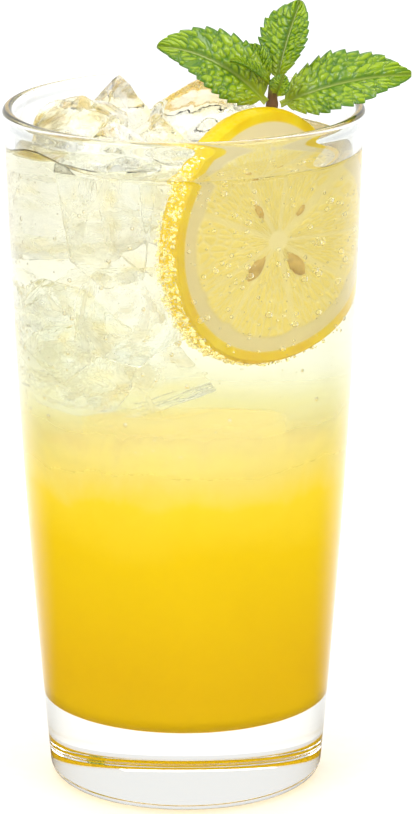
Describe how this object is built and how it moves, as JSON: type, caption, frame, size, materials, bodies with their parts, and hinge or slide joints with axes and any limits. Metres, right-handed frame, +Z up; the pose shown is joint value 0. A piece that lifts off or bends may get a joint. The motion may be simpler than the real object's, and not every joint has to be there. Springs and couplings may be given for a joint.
{
  "type": "glass of lemonade",
  "caption": "Tall tumbler filled with cloudy lemonade, with floating ice, an upright lemon wheel and a mint sprig.",
  "frame": {"origin": "on the axis of the glass, in the plane of its underside", "axes": "+Z up, along the axis of the glass; +X to the right and -Y towards the viewer, with the lemon wheel at the front right"},
  "size_m": [0.0874, 0.0776, 0.1714],
  "materials": {
    "clear_glass": "clear pressed glass",
    "lemonade": "cloudy yellow drink, stands in for a liquid",
    "lemon": "cut lemon, moist",
    "ice": "wet broken ice",
    "mint_leaf": "fresh leaf",
    "mint_stem": "brown stem"
  },
  "bodies": {
    "root": {"glass": "clear_glass", "lemonade": "lemonade", "lemon_wheel": "lemon", "mint_stem": "mint_stem", "ice_back_left": "ice", "ice_left": "ice", "ice_front_left": "ice", "ice_middle": "ice", "ice_back_right": "ice", "mint_leaf_left": "mint_leaf", "mint_leaf_right": "mint_leaf", "mint_leaf_top": "mint_leaf", "mint_leaf_inner": "mint_leaf", "mint_leaf_young": "mint_leaf", "mint_leaf_bud": "mint_leaf"}
  },
  "joints": []
}
